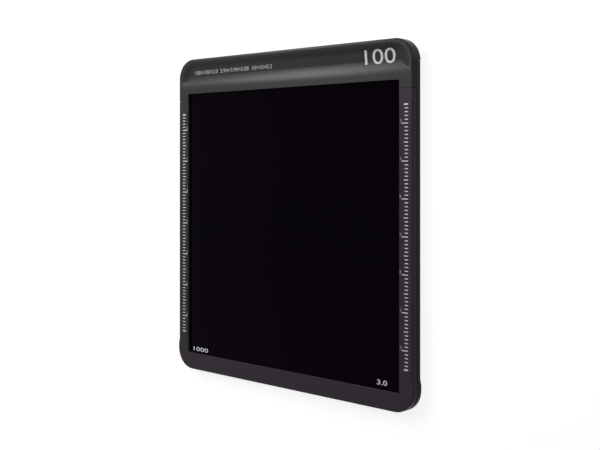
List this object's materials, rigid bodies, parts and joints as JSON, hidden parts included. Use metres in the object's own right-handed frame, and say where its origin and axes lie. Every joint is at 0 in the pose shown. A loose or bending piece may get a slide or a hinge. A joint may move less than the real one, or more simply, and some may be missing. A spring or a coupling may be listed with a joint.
{
  "type": "square neutral density filter",
  "caption": "Square neutral density filter: a dark glass plate in a thin black aluminium frame with magnets and a scooped grip bar.",
  "frame": {"origin": "middle of the back face, where the filter lies on its back", "axes": "+Z out of the filter's front, +Y towards the cap bar with the finger scoop, +X to the right seen from the front"},
  "size_m": [0.108, 0.116, 0.004],
  "materials": {
    "black_anodised": "bead-blasted, black anodised, satin",
    "filter_glass": "polished, coated neutral density glass, nearly opaque",
    "foam_tape": "matte black foam",
    "magnet": "bright nickel plate",
    "black_screw": "black oxide"
  },
  "bodies": {
    "root": {"lower_frame": "black_anodised", "top_cap": "black_anodised", "filter_glass": "filter_glass", "tape_left": "foam_tape", "tape_right": "foam_tape", "tape_bottom": "foam_tape", "tape_top": "foam_tape", "magnet_left_1": "magnet", "magnet_left_2": "magnet", "magnet_left_3": "magnet", "magnet_left_4": "magnet", "magnet_left_5": "magnet", "magnet_left_6": "magnet", "magnet_left_7": "magnet", "magnet_left_8": "magnet", "magnet_right_1": "magnet", "magnet_right_2": "magnet", "magnet_right_3": "magnet", "magnet_right_4": "magnet", "magnet_right_5": "magnet", "magnet_right_6": "magnet", "magnet_right_7": "magnet", "magnet_right_8": "magnet", "cap_screws": "black_screw"}
  },
  "joints": []
}
